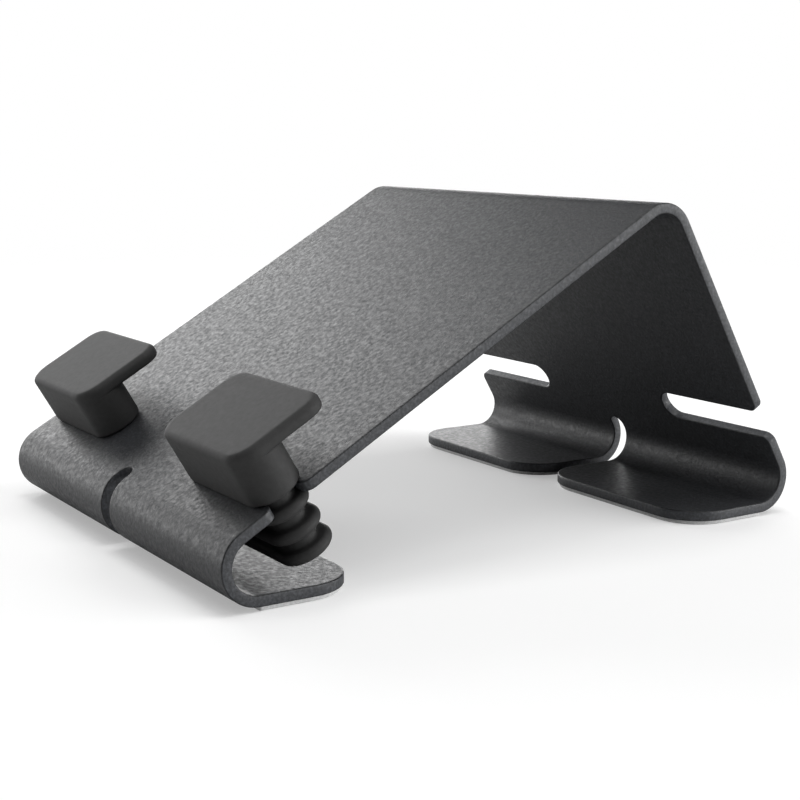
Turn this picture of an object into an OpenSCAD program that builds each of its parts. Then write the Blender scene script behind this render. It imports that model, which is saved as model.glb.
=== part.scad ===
// Tablet stand: one bent steel plate, two rubber hooks that slide into its side slots,
// and four thin pads under its feet. The front, with the hooks, faces -Y.

/* [Steel plate] */
// Width of the plate, side to side
plate_w = 127; // [110:1:150]
// Thickness of the steel with its powder coat
plate_t = 2.6; // [2:0.1:3]
// Outside radius of the three bends
bend_r = 8.9; // [8:0.1:11]
// Flat length of the sloping deck
deck_len = 127; // [115:1:150]
// Slope of the deck above the desk
deck_angle = 30; // [25:1:35]
// Slope of the rear leg above the desk
leg_angle = 60; // [55:1:65]
// Flat length of each foot, from its bend to its free end
foot_len = 25.4; // [20:0.2:32]
// Radius of the corners of the feet
foot_corner_r = 12; // [4:0.5:14]

/* [Slots] */
// Width of the four side slots
side_slot_w = 8.2; // [8:0.1:10]
// Depth of the side slots, from the side of the plate to their round ends
side_slot_depth = 37.6; // [34:0.5:42]
// Distance from a bend to the middle of the side slot next to it
side_slot_at = 13; // [10:0.5:16]
// Radius of the corners at the mouths of the side slots
mouth_r = 2.5; // [1:0.1:3]
// Width of the centre slots that part the feet
centre_slot_w = 5; // [4:0.1:7]
// How far the centre slots run past their bends
centre_slot_run = 3; // [2:0.5:5]

/* [Hooks] */
// Width of a hook's head, side to side
hook_w = 40; // [36:0.5:42]
// Radius of the round sides of the neck
neck_r = 6.8; // [6:0.1:7.5]
// Distance from the middle of the slot to the flat front of the hook
hook_front = 6.4; // [5.8:0.1:6.4]
// Height of the hook's top above the deck
head_h = 13.6; // [12:0.1:16]
// Thickness of the lip that holds the tablet
lip_t = 3.2; // [2.5:0.1:4]
// Distance from the middle of the slot to the tip of the lip
lip_reach = 18.5; // [15:0.5:22]
// Radius of the rear corners of the lip
lip_corner_r = 5; // [2:0.5:8]
// Number of ribs on the stem
rib_count = 3; // [1:1:3]
// Thickness of each rib
rib_t = 2.8; // [2:0.1:2.8]
// Radius of the round sides of the ribs
rib_r = 6.6; // [6:0.1:7]

/* [Feet pads] */
// Thickness of the pads
pad_t = 1; // [0.5:0.1:2]
// Distance of a pad's outline from the edge of its foot
pad_inset = 0.6; // [0.3:0.1:3]

/* [Hidden] */
$fn = 96;

// Clearances between the rubber stem and the steel
slot_clearance = 0.2;
groove_clearance = 0.1;
groove_h = plate_t + 2 * groove_clearance;
rib_pitch = groove_h + rib_t;
stem_len = rib_count * rib_pitch - groove_clearance;
core_r = side_slot_w / 2 - slot_clearance;
arc_x = hook_w / 2 - neck_r;
hook_x = plate_w / 2 - side_slot_depth + slot_clearance + core_r + arc_x;
overcut = 2;
// The feet part a hair wider than the slot in the bend above them
lobe_relief = 0.02;

// Side profile, as [y, z] points on top of the pads: the axes of the three bends
rise = deck_len * sin(deck_angle);
leg_len = rise / sin(leg_angle);
span = deck_len * cos(deck_angle) + leg_len * cos(leg_angle);
front_axis = [-span / 2, bend_r];
rear_axis = [span / 2, bend_r];
apex_axis = [rear_axis[0] - leg_len * cos(leg_angle), bend_r + rise];
bend_steps = 24;

// Points round an arc in the side profile, counted from +Y towards +Z
function arc(centre, r, from, to) =
    [for (i = [0:bend_steps]) let (a = from + (to - from) * i / bend_steps) centre + r * [cos(a), sin(a)]];

// One face of the sheet, from the front foot over the deck and down the leg to the rear foot
function sheet_face(r) = concat(
    [front_axis + [foot_len, -r]],
    arc(front_axis, r, 270, 90 + deck_angle),
    arc(apex_axis, r, 90 + deck_angle, 90 - leg_angle),
    arc(rear_axis, r, 90 - leg_angle, -90),
    [rear_axis + [-foot_len, -r]]);

function reversed(points) = [for (i = [len(points) - 1:-1:0]) points[i]];

// Local frame on the deck: +Y up the slope from the front bend, +Z out of its upper face
module on_deck() {
    translate([0, front_axis[0], front_axis[1] + pad_t])
        rotate([deck_angle, 0, 0]) translate([0, 0, bend_r]) children();
}

// Local frame on the leg: +Y up the slope from the rear bend, +Z out of its outer face
module on_leg() {
    translate([0, rear_axis[0], rear_axis[1] + pad_t])
        rotate([0, 0, 180]) rotate([leg_angle, 0, 0]) translate([0, 0, bend_r]) children();
}

// Carries a side profile across a width, centred on the middle of the stand
module across(width) {
    translate([-width / 2, 0, pad_t]) rotate([90, 0, 90]) linear_extrude(width) children();
}

// What rounding takes off a corner at the origin, where the sheet lies towards -X and -Y
module corner_waste(r) {
    difference() {
        translate([-r, -r]) square(r + overcut);
        translate([-r, -r]) circle(r);
    }
}

// A side slot, open at the right side of the plate, in a local frame centred on the slot
module side_slot() {
    r = side_slot_w / 2;
    translate([0, 0, -plate_t - overcut])
        linear_extrude(plate_t + 2 * overcut) {
            translate([plate_w / 2 - side_slot_depth + r, 0]) circle(r);
            translate([plate_w / 2 - side_slot_depth + r, -r])
                square([side_slot_depth, side_slot_w]);
            translate([plate_w / 2, -r]) corner_waste(mouth_r);
            mirror([0, 1]) translate([plate_w / 2, -r]) corner_waste(mouth_r);
        }
}

// Both side slots of a flat that starts at its bend
module side_slots() {
    translate([0, side_slot_at, 0]) side_slot();
    translate([0, side_slot_at, 0]) mirror([1, 0, 0]) side_slot();
}

// A centre slot, from its round end on a flat round the bend below it, in the flat's frame
module centre_slot() {
    r = centre_slot_w / 2;
    translate([0, 0, -2 * bend_r - overcut])
        linear_extrude(2 * bend_r + 2 * overcut) {
            translate([0, centre_slot_run - r]) circle(r);
            translate([-r, -bend_r - overcut])
                square([centre_slot_w, bend_r + overcut + centre_slot_run - r]);
        }
}

// What the gap and the round corners of two lobes take off a foot that points along +Y
module foot_waste() {
    gap_w = centre_slot_w + lobe_relief;
    translate([-gap_w / 2, -bend_r - overcut, -overcut])
        cube([gap_w, bend_r + foot_len + 2 * overcut, bend_r + overcut]);
    for (side = [0, 1])
        mirror([side, 0, 0])
            translate([0, foot_len, -overcut])
                linear_extrude(plate_t + 2 * overcut) {
                    translate([plate_w / 2, 0]) corner_waste(foot_corner_r);
                    translate([gap_w / 2, 0]) mirror([1, 0]) corner_waste(foot_corner_r);
                }
}

// The bent sheet with its slots
module slotted_sheet() {
    difference() {
        across(plate_w) polygon(concat(sheet_face(bend_r), reversed(sheet_face(bend_r - plate_t))));
        on_deck() side_slots();
        on_leg() side_slots();
        on_deck() centre_slot();
        on_leg() centre_slot();
    }
}

// The steel plate, bent three times: foot, deck, leg, foot
module stand_plate() {
    color("#3a3b3e") difference() {
        slotted_sheet();
        translate([0, front_axis[0], pad_t]) foot_waste();
        translate([0, rear_axis[0], pad_t]) mirror([0, 1, 0]) foot_waste();
    }
}

// A bar with round ends of radius r, cut flat at distance front on its -Y side
module round_bar(r, front, height) {
    intersection() {
        union() {
            for (side = [-1, 1])
                translate([side * arc_x, 0, 0]) cylinder(r = r, h = height);
            translate([-arc_x, -r, 0]) cube([2 * arc_x, 2 * r, height]);
        }
        translate([-hook_w, -front, -overcut]) cube([2 * hook_w, front + 2 * r, height + 2 * overcut]);
    }
}

// The lip: the neck's outline, carried back over the deck to two rounded corners
module lip() {
    round_bar(neck_r, hook_front, lip_t);
    difference() {
        translate([-hook_w / 2, 0, 0]) cube([hook_w, lip_reach, lip_t]);
        for (side = [0, 1])
            mirror([side, 0, 0])
                translate([hook_w / 2, lip_reach, -overcut])
                    linear_extrude(lip_t + 2 * overcut) corner_waste(lip_corner_r);
    }
}

// One hook in the deck's frame, centred on its slot: head above the deck, ribbed stem below
module hook() {
    translate([0, 0, groove_clearance])
        round_bar(neck_r, hook_front, head_h - lip_t - groove_clearance);
    translate([0, 0, head_h - lip_t]) lip();
    translate([0, 0, -stem_len]) round_bar(core_r, core_r, stem_len + groove_clearance);
    for (i = [1:rib_count])
        translate([0, 0, groove_clearance - i * rib_pitch]) round_bar(rib_r, hook_front, rib_t);
}

// A hook in its place in the front slot on one side: -1 is left, 1 is right
module placed_hook(side) {
    color("#4a4a4a")
        on_deck() translate([side * hook_x, side_slot_at, 0]) hook();
}

// The hook in the left front slot
module left_hook() {
    placed_hook(-1);
}

// The hook in the right front slot
module right_hook() {
    placed_hook(1);
}

// A pad under one lobe of a foot that points along +Y from a bend, on the right side
module pad() {
    pad_w = (plate_w - centre_slot_w) / 2 - 2 * pad_inset;
    r = foot_corner_r - pad_inset;
    color("#b9bcc0")
        translate([centre_slot_w / 2 + pad_inset, 0, 0])
            difference() {
                cube([pad_w, foot_len - pad_inset, pad_t]);
                translate([pad_w, foot_len - pad_inset, -overcut])
                    linear_extrude(pad_t + 2 * overcut) corner_waste(r);
                translate([0, foot_len - pad_inset, -overcut])
                    linear_extrude(pad_t + 2 * overcut) mirror([1, 0]) corner_waste(r);
            }
}

// The pad under the left lobe of the front foot
module front_left_pad() {
    translate([0, front_axis[0], 0]) mirror([1, 0, 0]) pad();
}

// The pad under the right lobe of the front foot
module front_right_pad() {
    translate([0, front_axis[0], 0]) pad();
}

// The pad under the left lobe of the rear foot
module rear_left_pad() {
    translate([0, rear_axis[0], 0]) rotate([0, 0, 180]) pad();
}

// The pad under the right lobe of the rear foot
module rear_right_pad() {
    translate([0, rear_axis[0], 0]) mirror([0, 1, 0]) pad();
}

stand_plate();
left_hook();
right_hook();
front_left_pad();
front_right_pad();
rear_left_pad();
rear_right_pad();
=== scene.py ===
from math import atan2, ceil, cos, hypot, pi, radians, sin

import bpy
import numpy as np
from mathutils import Matrix, Vector
from mathutils.geometry import delaunay_2d_cdt


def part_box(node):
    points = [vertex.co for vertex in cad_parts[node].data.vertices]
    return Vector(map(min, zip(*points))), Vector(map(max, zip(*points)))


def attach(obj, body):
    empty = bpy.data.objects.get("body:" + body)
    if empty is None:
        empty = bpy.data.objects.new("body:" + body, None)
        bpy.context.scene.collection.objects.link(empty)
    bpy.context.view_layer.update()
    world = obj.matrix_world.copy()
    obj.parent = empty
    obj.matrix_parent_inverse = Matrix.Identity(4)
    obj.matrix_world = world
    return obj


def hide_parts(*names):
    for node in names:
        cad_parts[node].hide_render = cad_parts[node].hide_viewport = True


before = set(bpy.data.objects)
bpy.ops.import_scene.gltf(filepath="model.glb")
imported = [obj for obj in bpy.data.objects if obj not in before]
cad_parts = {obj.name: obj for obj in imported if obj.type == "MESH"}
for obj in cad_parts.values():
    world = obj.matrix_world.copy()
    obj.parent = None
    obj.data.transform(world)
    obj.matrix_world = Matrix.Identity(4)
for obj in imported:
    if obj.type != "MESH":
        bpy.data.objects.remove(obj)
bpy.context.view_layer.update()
MM = 0.001
SAME_POINT = 1e-7  # points nearer than this are one point
ROUNDING = 1e-9  # room for rounding in a comparison

# ---------------------------------------------------------------- sizes that the frame doesn't give
# A GAP is a mesh's spacing over a flat face, and a CLEAR is how far its inner points keep from the outline.
# Steel plate
SHEET = 2.6 * MM
BEND_R = 8.9 * MM
DECK_SLOPE = radians(30)
LEG_SLOPE = radians(60)
FOOT_LEN = 25.4 * MM
FOOT_CORNER_R = 12 * MM
SLOT_HALF = 4.1 * MM
SLOT_DEPTH = 37.6 * MM
SLOT_AT = 13 * MM
MOUTH_R = 2.5 * MM
CENTRE_HALF = 2.5 * MM
CENTRE_RUN = 3 * MM
PLATE_EDGE_R = 0.35 * MM
BEND_STEP = radians(3)
PLATE_GAP = 4 * MM
PLATE_CLEAR = 0.6 * MM

# Hooks
HOOK_HALF = 20 * MM
NECK_R = 6.8 * MM
HOOK_FRONT = 6.4 * MM
CREASE = 0.45 * MM
HEAD_H = 13.6 * MM
LIP_T = 3.2 * MM
LIP_REACH = 18.5 * MM
LIP_CORNER_R = 5 * MM
LIP_BLEND = 4 * MM
TOP_EDGE_R = 1.4 * MM
LIP_EDGE_R = 0.8 * MM
LIP_FILLET = 0.6 * MM
BASE_EDGE_R = 0.8 * MM
CORE_R = 3.9 * MM
RIB_R = 6.6 * MM
RIB_T = 2.8 * MM
RIB_PITCH = 5.6 * MM
RIB_COUNT = 3
GROOVE_FILLET = 0.4 * MM
CLEARANCE = 0.1 * MM
HOOK_GAP = 2.5 * MM
HOOK_CLEAR = 0.8 * MM
STEM_END_INSET = 0.6 * MM
HEAD_TOP_INSET = 0.8 * MM

# Pads
PAD_INSET = 0.6 * MM
PAD_EDGE_R = 0.25 * MM
PAD_CORNER_R = 0.8 * MM
PAD_GAP = 3 * MM
PAD_CLEAR = 0.6 * MM

# Steps in the round parts of the meshes
CORNER_STEP = radians(9)
PLATE_EDGE_STEPS = 4
HOOK_EDGE_STEPS = 5


# ---------------------------------------------------------------- outlines and meshes
def rounded(corners):
    """A closed outline through (x, y, radius) corners, counter-clockwise, each rounded to its radius."""
    points = []
    count = len(corners)
    for i, (x, y, r) in enumerate(corners):
        here = Vector((x, y))
        before = (Vector(corners[i - 1][:2]) - here).normalized()
        after = (Vector(corners[(i + 1) % count][:2]) - here).normalized()
        turn = pi - before.angle(after)
        reach = r * sin(turn / 2) / cos(turn / 2)
        centre = here + (before + after).normalized() * hypot(r, reach)
        start = here + before * reach - centre
        side = 1 if before.cross(after) < 0 else -1
        steps = max(2, ceil(turn / CORNER_STEP))
        for k in range(steps + 1):
            points.append(centre + Matrix.Rotation(side * turn * k / steps, 2) @ start)
    return without_repeats(points)


def without_repeats(points):
    """The outline's points with each one that repeats the one before it left out."""
    return [p for i, p in enumerate(points) if (p - points[i - 1]).length > SAME_POINT]


def divided(points, rows, gap):
    """The outline with more points: where an upright side crosses a row, and every gap along the others."""
    result = []
    for i, start in enumerate(points):
        end = points[(i + 1) % len(points)]
        if abs(start.x - end.x) < SAME_POINT:
            low, high = sorted((start.y, end.y))
            inner = [r for r in rows if low + SAME_POINT < r < high - SAME_POINT]
            cuts = {0.0} | {(r - start.y) / (end.y - start.y) for r in inner}
        else:
            parts = ceil((end - start).length / gap)
            cuts = {k / parts for k in range(parts)}
        result += [start.lerp(end, cut) for cut in sorted(cuts)]
    return result


def inset(points, distance):
    """The closed counter-clockwise outline moved inwards by distance."""
    result = []
    for i, p in enumerate(points):
        a = (p - points[i - 1]).normalized()
        b = (points[(i + 1) % len(points)] - p).normalized()
        inward = Vector((-a.y - b.y, a.x + b.x)).normalized()
        lean = max(0.5, inward.dot(Vector((-a.y, a.x))))
        result.append(p + inward * distance / lean)
    return result


def filled(outline, columns, rows, clear):
    """Triangles that fill an outline, with more points where the columns cross the rows inside it.

    Returns all the points, the outline's own first and in their order, and the triangles.
    """
    xs, ys = np.meshgrid(np.array(columns), np.array(rows))
    xs, ys = xs.ravel(), ys.ravel()
    edge = np.array([p[:] for p in outline])
    following = np.roll(edge, -1, axis=0)
    inside = np.zeros(len(xs), bool)
    near = np.full(len(xs), np.inf)
    for (ax, ay), (bx, by) in zip(edge, following):
        if ay != by:
            crosses = (ay > ys) != (by > ys)
            inside ^= crosses & (xs < (bx - ax) * (ys - ay) / (by - ay) + ax)
        length2 = (bx - ax) ** 2 + (by - ay) ** 2
        t = np.clip(((xs - ax) * (bx - ax) + (ys - ay) * (by - ay)) / length2, 0, 1)
        near = np.minimum(near, np.hypot(xs - ax - t * (bx - ax), ys - ay - t * (by - ay)))
    keep = inside & (near > clear)
    points = list(outline) + [Vector(p) for p in zip(xs[keep], ys[keep])]
    count = len(outline)
    sides = [(i, (i + 1) % count) for i in range(count)]
    only_inside = 1
    made, _, triangles, sources, _, _ = delaunay_2d_cdt(points, sides, [], only_inside, ROUNDING)
    if len(made) != len(points):
        raise ValueError("the outline crosses itself")
    return points, [tuple(sources[v][0] for v in face) for face in triangles]


def strip(first, second, count):
    """Quads between two closed rings of count vertices, which start at the indices first and second."""
    return [(first + i, second + i, second + (i + 1) % count, first + (i + 1) % count)
            for i in range(count)]


def new_piece(name, vertices, faces, material, body, node):
    """A smooth mesh that rides on a body, stands for a CAD node and takes the given material."""
    mesh = bpy.data.meshes.new(name)
    mesh.from_pydata([tuple(v) for v in vertices], [], faces)
    mesh.update()
    mesh.shade_smooth()
    mesh.materials.append(material)
    piece = bpy.data.objects.new(name, mesh)
    bpy.context.scene.collection.objects.link(piece)
    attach(piece, body)
    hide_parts(node)
    return piece


def quarter_turn(steps):
    """Angles from 0 to a right angle in even steps."""
    return [pi / 2 * k / steps for k in range(steps + 1)]


def slab(outline, place, depth, edge_r, columns, rows, clear):
    """Vertices and faces of a plate with rounded edges, and how far round its edge each vertex is.

    place(x, y, h) puts a point of the plate at height h over its face; h runs from 0 down to -depth.
    A vertex is 0 round the edge where it is on a face, and 1 where it is on the cut side.
    """
    flat_rim = edge_r
    quarter = quarter_turn(PLATE_EDGE_STEPS)
    upper = [(edge_r * (1 - sin(a)), -edge_r * (1 - cos(a))) for a in quarter]
    section = [(edge_r + flat_rim, 0)] + upper
    section += [(d, -depth - h) for d, h in reversed(section)]
    turns = [0] + [k / PLATE_EDGE_STEPS for k in range(PLATE_EDGE_STEPS + 1)]
    turns += turns[::-1]
    count = len(outline)
    skin, triangles = filled(inset(outline, edge_r + flat_rim), columns, rows, clear)
    vertices = [place(p.x, p.y, 0) for p in skin]
    round_edge = [0.0] * len(skin)
    faces = list(triangles)
    ring = 0
    for (d, h), turn in list(zip(section, turns))[1:-1]:
        start = len(vertices)
        vertices += [place(p.x, p.y, h) for p in inset(outline, d)]
        round_edge += [turn] * count
        faces += strip(ring, start, count)
        ring = start
    start = len(vertices)
    vertices += [place(p.x, p.y, -depth) for p in skin]
    faces += strip(ring, start, count)
    round_edge += [0.0] * len(skin)
    faces += [tuple(start + v for v in reversed(face)) for face in triangles]
    return vertices, faces, round_edge


def spaced(low, high, gap):
    """Evenly spaced values from low to high, no further apart than gap."""
    steps = ceil((high - low) / gap - ROUNDING)
    return [low + (high - low) * k / steps for k in range(steps + 1)]


# ---------------------------------------------------------------- materials
def new_material(name):
    """An empty node material: its node tree and its surface shader."""
    material = bpy.data.materials.new(name)
    material.use_nodes = True
    tree = material.node_tree
    shader = tree.nodes["Principled BSDF"]
    return material, tree, shader


def noise(tree, scale, detail=2.0):
    """A noise texture over the object's own coordinates, in metres."""
    place = tree.nodes.new("ShaderNodeTexCoord")
    texture = tree.nodes.new("ShaderNodeTexNoise")
    texture.inputs["Scale"].default_value = scale
    texture.inputs["Detail"].default_value = detail
    texture.inputs["Roughness"].default_value = 0.5
    tree.links.new(place.outputs["Object"], texture.inputs["Vector"])
    return texture.outputs["Fac"]


def ramp(tree, value, stops):
    """A colour ramp over a value; stops are (position, colour)."""
    node = tree.nodes.new("ShaderNodeValToRGB")
    elements = node.color_ramp.elements
    while len(elements) < len(stops):
        elements.new(0.5)
    for element, (position, colour) in zip(elements, stops):
        element.position = position
        element.color = (*colour, 1)
    tree.links.new(value, node.inputs["Fac"])
    return node.outputs["Color"]


def bump(tree, height, distance, below=None):
    """A bump of the given height texture, on top of another bump if one is given."""
    node = tree.nodes.new("ShaderNodeBump")
    node.inputs["Distance"].default_value = distance
    node.inputs["Strength"].default_value = 1.0
    tree.links.new(height, node.inputs["Height"])
    if below is not None:
        tree.links.new(below, node.inputs["Normal"])
    return node.outputs["Normal"]


def grey(value, tint=0.0):
    """A grey with a slight blue tint."""
    return (value * (1 - tint), value, value * (1 + 2 * tint))


def multiplied(tree, first, second):
    """One colour times another."""
    mix = tree.nodes.new("ShaderNodeMix")
    mix.data_type = "RGBA"
    mix.blend_type = "MULTIPLY"
    mix.inputs["Factor"].default_value = 1
    tree.links.new(first, mix.inputs["A"])
    tree.links.new(second, mix.inputs["B"])
    return mix.outputs["Result"]


def powder_coat():
    """Fine-textured dark powder coat: grains, a satin gloss, cut sides lightened with painted light and a dark
    line of painted shade round them.
    """
    material, tree, shader = new_material("powder_coat")
    grains = noise(tree, 1400)
    shades = [(0.3, 0.032), (0.5, 0.050), (0.7, 0.085)]
    tint = 0.06
    speckled = ramp(tree, grains, [(position, grey(shade, tint)) for position, shade in shades])
    patches = ramp(tree, noise(tree, 60), [(0.3, grey(0.9)), (0.7, grey(1.0))])
    # Painted light and shade: the rounded edges are darkened as painted shade and the cut sides lightened as
    # painted light, by how far round the edge each point is.
    edge = tree.nodes.new("ShaderNodeAttribute")
    edge.attribute_name = "round_edge"
    painted_edge_light_and_shade = ramp(tree, edge.outputs["Fac"], [(0.0, grey(0.45)), (0.5, grey(0.15)), (0.9, grey(0.85))])
    shaded = multiplied(tree, multiplied(tree, speckled, patches), painted_edge_light_and_shade)
    tree.links.new(shaded, shader.inputs["Base Color"])
    rough = ramp(tree, noise(tree, 900), [(0.3, grey(0.40)), (0.7, grey(0.60))])
    tree.links.new(rough, shader.inputs["Roughness"])
    shader.inputs["Specular IOR Level"].default_value = 0.5
    coarse = bump(tree, grains, 0.06 * MM)
    fine = bump(tree, noise(tree, 4000, 1), 0.01 * MM, coarse)
    tree.links.new(fine, shader.inputs["Normal"])
    return material


def hook_rubber():
    """Smooth matte moulded rubber, with a very fine grain and faint patches of bloom."""
    material, tree, shader = new_material("hook_rubber")
    tone = ramp(tree, noise(tree, 900, 3), [(0.3, grey(0.025)), (0.7, grey(0.030))])
    tree.links.new(tone, shader.inputs["Base Color"])
    rough = ramp(tree, noise(tree, 700), [(0.3, grey(0.65)), (0.7, grey(0.70))])
    tree.links.new(rough, shader.inputs["Roughness"])
    shader.inputs["Specular IOR Level"].default_value = 0.4
    tree.links.new(bump(tree, noise(tree, 3500), 0.006 * MM), shader.inputs["Normal"])
    return material


def pad_rubber():
    """Pale foam rubber with an open fine grain."""
    material, tree, shader = new_material("pad_rubber")
    tone = ramp(tree, noise(tree, 1800, 3), [(0.3, grey(0.64)), (0.7, grey(0.78))])
    tree.links.new(tone, shader.inputs["Base Color"])
    shader.inputs["Roughness"].default_value = 0.9
    shader.inputs["Specular IOR Level"].default_value = 0.25
    tree.links.new(bump(tree, noise(tree, 2500, 3), 0.04 * MM), shader.inputs["Normal"])
    return material


# ---------------------------------------------------------------- steel plate
plate_low, plate_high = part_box("stand_plate")
PLATE_HALF = (plate_high.x - plate_low.x) / 2
AXIS_Z = plate_low.z + BEND_R
RISE = plate_high.z - BEND_R - AXIS_Z
DECK_LEN = RISE / sin(DECK_SLOPE)
LEG_LEN = RISE / sin(LEG_SLOPE)
REAR_AXIS_Y = plate_high.y - BEND_R
FRONT_AXIS_Y = REAR_AXIS_Y - DECK_LEN * cos(DECK_SLOPE) - LEG_LEN * cos(LEG_SLOPE)
FRONT_TURN = pi - DECK_SLOPE
TOP_TURN = DECK_SLOPE + LEG_SLOPE
REAR_TURN = pi - LEG_SLOPE

# The sheet's outer face from the front foot's free end to the rear foot's: (length, turn) of each stretch
STRETCHES = [
    (FOOT_LEN, 0),
    (FRONT_TURN * BEND_R, FRONT_TURN),
    (DECK_LEN, 0),
    (TOP_TURN * BEND_R, TOP_TURN),
    (LEG_LEN, 0),
    (REAR_TURN * BEND_R, REAR_TURN),
    (FOOT_LEN, 0),
]
STARTS = [sum(length for length, _ in STRETCHES[:i]) for i in range(len(STRETCHES) + 1)]
DECK_START = STARTS[2]
LEG_END = STARTS[5]


def walked():
    """Where each stretch starts in the side view: its (y, z) point and the angle of its outward normal."""
    straight_down = 1.5 * pi
    y, z, angle = FRONT_AXIS_Y + FOOT_LEN, plate_low.z, straight_down
    result = []
    for length, turn in STRETCHES:
        result.append((y, z, angle))
        if turn:
            y += BEND_R * (cos(angle - turn) - cos(angle))
            z += BEND_R * (sin(angle - turn) - sin(angle))
            angle -= turn
        else:
            y += length * sin(angle)
            z -= length * cos(angle)
    return result


WALK = walked()


def on_sheet(x, u, h):
    """The point at distance u along the sheet's outer face and height h over it."""
    i = max(k for k in range(len(STRETCHES)) if k == 0 or STARTS[k] <= u + ROUNDING)
    y, z, angle = WALK[i]
    along = u - STARTS[i]
    if STRETCHES[i][1]:
        turned = angle - along / BEND_R
        y += BEND_R * (cos(turned) - cos(angle))
        z += BEND_R * (sin(turned) - sin(angle))
        angle = turned
    else:
        y += along * sin(angle)
        z -= along * cos(angle)
    return Vector((x, y + h * cos(angle), z + h * sin(angle)))


def mirrored(corners):
    """The same corners on the other side of the middle, in the order that keeps the outline going round."""
    return [(-x, y, r) for x, y, r in reversed(corners)]


def plate_outline():
    """The flat sheet's corners, as (x, y, radius): x across, y along its outer face."""
    slot_end = PLATE_HALF - SLOT_DEPTH
    front_foot = [(CENTRE_HALF, 0, FOOT_CORNER_R), (PLATE_HALF, 0, FOOT_CORNER_R)]
    rear_foot = [(x, STARTS[-1], r) for x, _, r in reversed(front_foot)]
    side_slots = []
    for at in (DECK_START + SLOT_AT, LEG_END - SLOT_AT):
        side_slots += [
            (PLATE_HALF, at - SLOT_HALF, MOUTH_R),
            (slot_end, at - SLOT_HALF, SLOT_HALF),
            (slot_end, at + SLOT_HALF, SLOT_HALF),
            (PLATE_HALF, at + SLOT_HALF, MOUTH_R),
        ]
    rear_slot_end = (CENTRE_HALF, LEG_END - CENTRE_RUN, CENTRE_HALF)
    front_slot_end = (CENTRE_HALF, DECK_START + CENTRE_RUN, CENTRE_HALF)
    right = front_foot + side_slots + rear_foot + [rear_slot_end]
    return right + mirrored(right) + mirrored([front_slot_end]) + [front_slot_end]


def stand_plate(material):
    """The steel plate, bent three times, with the place round the edge of each vertex for its material."""
    rows = []
    for (length, turn), start in zip(STRETCHES, STARTS):
        gap = BEND_STEP * BEND_R if turn else PLATE_GAP
        rows += spaced(start, start + length, gap)[:-1]
    columns = spaced(-PLATE_HALF, PLATE_HALF, PLATE_GAP)
    outline = divided(rounded(plate_outline()), rows, PLATE_GAP)
    vertices, faces, round_edge = slab(outline, on_sheet, SHEET, PLATE_EDGE_R, columns, rows, PLATE_CLEAR)
    name, slot = "coated_plate", "powder_coated_steel"
    piece = new_piece(name, vertices, faces, material, "stand", "stand_plate")
    attribute = piece.data.attributes.new("round_edge", "FLOAT", "POINT")
    attribute.data.foreach_set("value", round_edge)


# ---------------------------------------------------------------- hooks
ARC_X = HOOK_HALF - NECK_R
ARC_STEPS = 14
STRAIGHT_STEPS = 10


def clipped(depth, limit):
    """The smaller of two depths, with a soft crease between them."""
    near = max(CREASE - abs(depth - limit), 0) / CREASE
    return min(depth, limit) - near * near * CREASE / 4


def stadium():
    """The bar's outline as (side, angle) pairs, counter-clockwise from the middle of its front.

    side is the x of the arc's centre as a share of ARC_X.
    """
    half = [(k / STRAIGHT_STEPS, -pi / 2) for k in range(STRAIGHT_STEPS)]
    half += [(1.0, -pi / 2 + pi / 2 * k / ARC_STEPS) for k in range(2 * ARC_STEPS)]
    half += [(1 - k / STRAIGHT_STEPS, pi / 2) for k in range(STRAIGHT_STEPS)]
    return half + [(-side, pi - angle) for side, angle in [(0.0, pi / 2)] + half[:0:-1]]


STADIUM = stadium()


def bar_ring(r):
    """A ring of the neck or the stem: a stadium of radius r with a flat front."""
    ring = []
    for side, angle in STADIUM:
        x, y = side * ARC_X + r * cos(angle), r * sin(angle)
        ring.append(Vector((x, -clipped(-y, HOOK_FRONT) if y < 0 else y)))
    return ring


def lip_ring(inwards_rear):
    """The lip's outline, point for point with bar_ring: its rear part is drawn in by the given distance."""
    ring = []
    straight = ARC_STEPS // 2
    for (side, angle), neck in zip(STADIUM, bar_ring(NECK_R)):
        sign = 1 if side > 0 or (side == 0 and cos(angle) > 0) else -1
        rear = sin(angle)
        if rear < ROUNDING:
            ring.append(neck)
            continue
        if abs(side) < 1 or rear > 1 - ROUNDING:
            ring.append(Vector((side * (HOOK_HALF - LIP_CORNER_R), LIP_REACH - inwards_rear)))
            continue
        turned = atan2(rear, abs(cos(angle))) / (pi / 2) * ARC_STEPS
        if turned <= straight:
            y = (LIP_REACH - LIP_CORNER_R) * turned / straight
            fade = min(1.0, y / LIP_BLEND)
            ring.append(Vector((sign * (HOOK_HALF - inwards_rear * fade), y)))
        else:
            a = pi / 2 * (turned - straight) / (ARC_STEPS - straight)
            r = LIP_CORNER_R - inwards_rear
            x = HOOK_HALF - LIP_CORNER_R + r * cos(a)
            ring.append(Vector((sign * x, LIP_REACH - LIP_CORNER_R + r * sin(a))))
    return ring


def stem_profile():
    """(radius, height) of the stem from its lower end up to the neck's base."""
    quarter = quarter_turn(HOOK_EDGE_STEPS)
    bead = RIB_T / 2
    groove = RIB_PITCH - RIB_T
    profile = []
    for i in reversed(range(RIB_COUNT)):
        top = CLEARANCE - i * RIB_PITCH - groove
        middle = top - bead
        if profile:
            profile.append((CORE_R + GROOVE_FILLET, middle - bead))
        profile += [(RIB_R - bead + bead * sin(a), middle - bead * cos(a)) for a in quarter]
        profile += [(RIB_R - bead + bead * cos(a), middle + bead * sin(a)) for a in quarter[1:]]
        profile.append((CORE_R + GROOVE_FILLET, top))
        profile.append((CORE_R, top + GROOVE_FILLET))
        profile.append((CORE_R, top + groove - GROOVE_FILLET))
    profile.append((CORE_R + GROOVE_FILLET, CLEARANCE))
    return profile


def stepped(start, end, distance):
    """The point at a distance from start on the way to end, and no further than end."""
    way = end - start
    if way.length <= SAME_POINT:
        return start
    return start + way.normalized() * min(distance, way.length)


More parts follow.
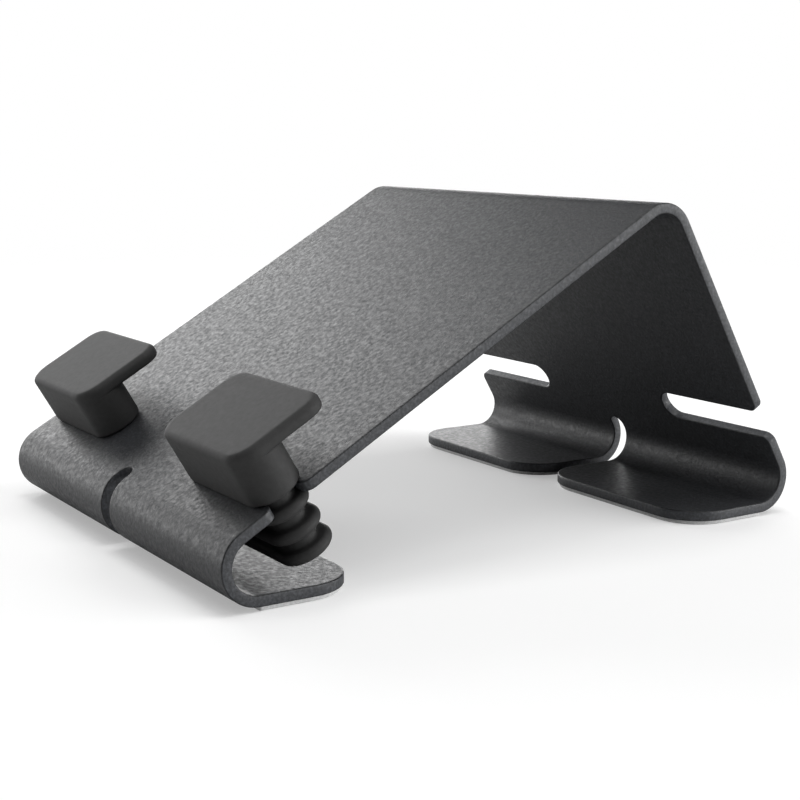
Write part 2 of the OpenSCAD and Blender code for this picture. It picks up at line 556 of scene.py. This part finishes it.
def hook_rings():
    """The hook's rings from the stem's end to the top of its head, as (ring, height)."""
    quarter = quarter_turn(HOOK_EDGE_STEPS)
    under = HEAD_H - LIP_T
    neck = bar_ring(NECK_R)
    lip = lip_ring(LIP_EDGE_R)
    full = lip_ring(0)
    rings = [(bar_ring(r), h) for r, h in stem_profile()]
    for a in quarter:
        r = NECK_R - BASE_EDGE_R + BASE_EDGE_R * sin(a)
        rings.append((bar_ring(r), CLEARANCE + BASE_EDGE_R * (1 - cos(a))))
    rings.append((neck, under / 2))
    for a in quarter:
        out = LIP_FILLET * (1 - cos(a))
        fillet = [stepped(n, p, out) for n, p in zip(neck, lip)]
        rings.append((fillet, under - LIP_FILLET * (1 - sin(a))))
    for a in quarter:
        rings.append((lip_ring(LIP_EDGE_R * (1 - sin(a))), under + LIP_EDGE_R * (1 - cos(a))))
    for a in quarter:
        rings.append((inset(full, TOP_EDGE_R * (1 - cos(a))), HEAD_H - TOP_EDGE_R * (1 - sin(a))))
    return rings


def hook(node, material):
    """One moulded rubber hook, at its CAD node's place in the side slot next to the front bend."""
    low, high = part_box(node)
    middle = (low.x + high.x) / 2
    slot = DECK_START + SLOT_AT

    def place(x, y, h):
        return on_sheet(middle + x, slot + y, h)

    rings = hook_rings()
    count = len(STADIUM)
    columns = spaced(-HOOK_HALF, HOOK_HALF, HOOK_GAP)
    rows = spaced(-HOOK_FRONT, LIP_REACH, HOOK_GAP)
    first, height = rings[0]
    skin, triangles = filled(inset(first, STEM_END_INSET), columns, rows, HOOK_CLEAR)
    vertices = [place(p.x, p.y, height) for p in skin]
    faces = [tuple(reversed(face)) for face in triangles]
    ring = 0
    for outline, height in rings:
        start = len(vertices)
        vertices += [place(p.x, p.y, height) for p in outline]
        faces += [tuple(reversed(face)) for face in strip(ring, start, count)]
        ring = start
    skin, triangles = filled(inset(outline, HEAD_TOP_INSET), columns, rows, HOOK_CLEAR)
    start = len(vertices)
    vertices += [place(p.x, p.y, height) for p in skin]
    faces += [tuple(reversed(face)) for face in strip(ring, start, count)]
    faces += [tuple(start + v for v in face) for face in triangles]
    new_piece(node + "_rubber", vertices, faces, material, node, node)


# ---------------------------------------------------------------- pads
def pad(node, material):
    """A thin pad under one lobe of a foot, with its round corners towards the lobe's free end."""
    low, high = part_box(node)
    r = FOOT_CORNER_R - PAD_INSET
    free_end_is_high = low.y < 0
    if free_end_is_high:
        radii = (PAD_CORNER_R, PAD_CORNER_R, r, r)
    else:
        radii = (r, r, PAD_CORNER_R, PAD_CORNER_R)
    xs = (low.x, high.x, high.x, low.x)
    ys = (low.y, low.y, high.y, high.y)
    rows = spaced(low.y, high.y, PAD_GAP)
    columns = spaced(low.x, high.x, PAD_GAP)
    outline = divided(rounded(list(zip(xs, ys, radii))), rows, PAD_GAP)
    thickness = high.z - low.z

    def place(x, y, h):
        return Vector((x, y, high.z + h))

    vertices, faces, _ = slab(outline, place, thickness, PAD_EDGE_R, columns, rows, PAD_CLEAR)
    new_piece(node + "_rubber", vertices, faces, material, "stand", node)


# ---------------------------------------------------------------- stage, light and camera
# The camera's angle, distance, target and lens are solved from the photo's edges and corners.
# The soft boxes' strengths come from a least-squares fit to the photo's tones. They are rounded, and two or
# three are changed.
VIEW_AZIMUTH = radians(57.40)
VIEW_ELEVATION = radians(10.25)
VIEW_DISTANCE = 0.34746
VIEW_TARGET = Vector((0.04521, -0.02700, 0.03788))
SENSOR_WIDTH = 36
LENS = 67.54

LIT_POINT = Vector((0, 0, 0.03))
LIGHT_DISTANCE = 1.2
LOW_ELEVATION = 8
LOW_BOX = (0.62, 0.38)
MIDDLE_BOX = (0.60, 0.52)
HIGH_BOX = (0.62, 0.50)
TOP_BOX = (0.50, 0.50)
AMBIENT = 0.08

FLOOR_R = 0.9
FLOOR_SIDES = 64
FLOOR_GREY = 0.71
FLOOR_GLOW = 0.34
FADE_FROM = 0.22
FADE_TO = 0.8


def look_at(thing, target):
    """Turns a camera or a light at its place towards a point."""
    direction = target - thing.location
    thing.rotation_euler = direction.to_track_quat("-Z", "Y").to_euler()


def camera():
    """The photograph's view, as an angle and a distance round a point in the stand."""
    level = cos(VIEW_ELEVATION)
    back = Vector((sin(VIEW_AZIMUTH) * level, -cos(VIEW_AZIMUTH) * level, sin(VIEW_ELEVATION)))
    data = bpy.data.cameras.new("camera")
    data.sensor_width = SENSOR_WIDTH
    data.lens = LENS
    thing = bpy.data.objects.new("camera", data)
    bpy.context.scene.collection.objects.link(thing)
    thing.location = VIEW_TARGET + back * VIEW_DISTANCE
    look_at(thing, VIEW_TARGET)
    bpy.context.scene.camera = thing


def soft_box(azimuth, elevation, size, radiance):
    """A soft rectangular light that the camera doesn't see.

    The angles are in degrees: azimuth runs from the right (+X) to the back (+Y).
    """
    width, height = size
    data = bpy.data.lights.new("soft_box", "AREA")
    data.shape = "RECTANGLE"
    data.size = width
    data.size_y = height
    data.energy = pi * width * height * radiance
    thing = bpy.data.objects.new("soft_box", data)
    bpy.context.scene.collection.objects.link(thing)
    turn, rise = radians(azimuth), radians(elevation)
    towards = Vector((cos(turn) * cos(rise), sin(turn) * cos(rise), sin(rise)))
    thing.location = LIT_POINT + towards * LIGHT_DISTANCE
    thing.visible_camera = False
    look_at(thing, LIT_POINT)


def floor():
    """A pale round floor that fades out towards its rim and glows to the camera alone."""
    mesh = bpy.data.meshes.new("floor")
    turns = [2 * pi * k / FLOOR_SIDES for k in range(FLOOR_SIDES)]
    rim = [(FLOOR_R * cos(turn), FLOOR_R * sin(turn), 0) for turn in turns]
    mesh.from_pydata(rim, [], [tuple(range(FLOOR_SIDES))])
    material, tree, shader = new_material("floor")
    shader.inputs["Base Color"].default_value = (FLOOR_GREY, FLOOR_GREY, FLOOR_GREY, 1)
    shader.inputs["Roughness"].default_value = 0.9
    shader.inputs["Specular IOR Level"].default_value = 0.1
    shader.inputs["Emission Color"].default_value = (1, 1, 1, 1)
    path = tree.nodes.new("ShaderNodeLightPath")
    glow = tree.nodes.new("ShaderNodeMapRange")
    glow.inputs["To Min"].default_value = 0
    glow.inputs["To Max"].default_value = FLOOR_GLOW
    tree.links.new(path.outputs["Is Camera Ray"], glow.inputs["Value"])
    tree.links.new(glow.outputs["Result"], shader.inputs["Emission Strength"])
    place = tree.nodes.new("ShaderNodeTexCoord")
    from_centre = tree.nodes.new("ShaderNodeVectorMath")
    from_centre.operation = "LENGTH"
    tree.links.new(place.outputs["Object"], from_centre.inputs[0])
    fade = tree.nodes.new("ShaderNodeMapRange")
    fade.inputs["From Min"].default_value = FADE_FROM
    fade.inputs["From Max"].default_value = FADE_TO
    fade.inputs["To Min"].default_value = 1
    fade.inputs["To Max"].default_value = 0
    fade.interpolation_type = "SMOOTHSTEP"
    tree.links.new(from_centre.outputs["Value"], fade.inputs["Value"])
    tree.links.new(fade.outputs["Result"], shader.inputs["Alpha"])
    mesh.materials.append(material)
    thing = bpy.data.objects.new("floor", mesh)
    bpy.context.scene.collection.objects.link(thing)


def studio():
    """Low soft boxes from the right rear to the front left, four higher up, and the surround.

    The surround is white to the camera and dim to everything else.
    """
    world = bpy.data.worlds.new("studio")
    bpy.context.scene.world = world
    world.use_nodes = True
    tree = world.node_tree
    background = tree.nodes["Background"]
    path = tree.nodes.new("ShaderNodeLightPath")
    strength = tree.nodes.new("ShaderNodeMapRange")
    strength.inputs["To Min"].default_value = AMBIENT
    strength.inputs["To Max"].default_value = 1.0
    tree.links.new(path.outputs["Is Camera Ray"], strength.inputs["Value"])
    tree.links.new(strength.outputs["Result"], background.inputs["Strength"])
    background.inputs["Color"].default_value = (1, 1, 1, 1)
    low_boxes = ((30, 5.4), (60, 7.8), (120, 2.5), (150, 6.3), (180, 4.5), (210, 3.1), (240, 2.0))
    for azimuth, radiance in low_boxes:
        soft_box(azimuth, LOW_ELEVATION, LOW_BOX, radiance)
    soft_box(180, 30, MIDDLE_BOX, 4.5)
    soft_box(45, 56, HIGH_BOX, 3.6)
    soft_box(315, 56, HIGH_BOX, 1.9)
    soft_box(0, 90, TOP_BOX, 6.0)


camera()
coat = powder_coat()
rubber = hook_rubber()
foam = pad_rubber()
stand_plate(coat)
hook("left_hook", rubber)
hook("right_hook", rubber)
for pad_node in ("front_left_pad", "front_right_pad", "rear_left_pad", "rear_right_pad"):
    pad(pad_node, foam)
floor()
studio()
bpy.context.scene.view_settings.view_transform = "Standard"
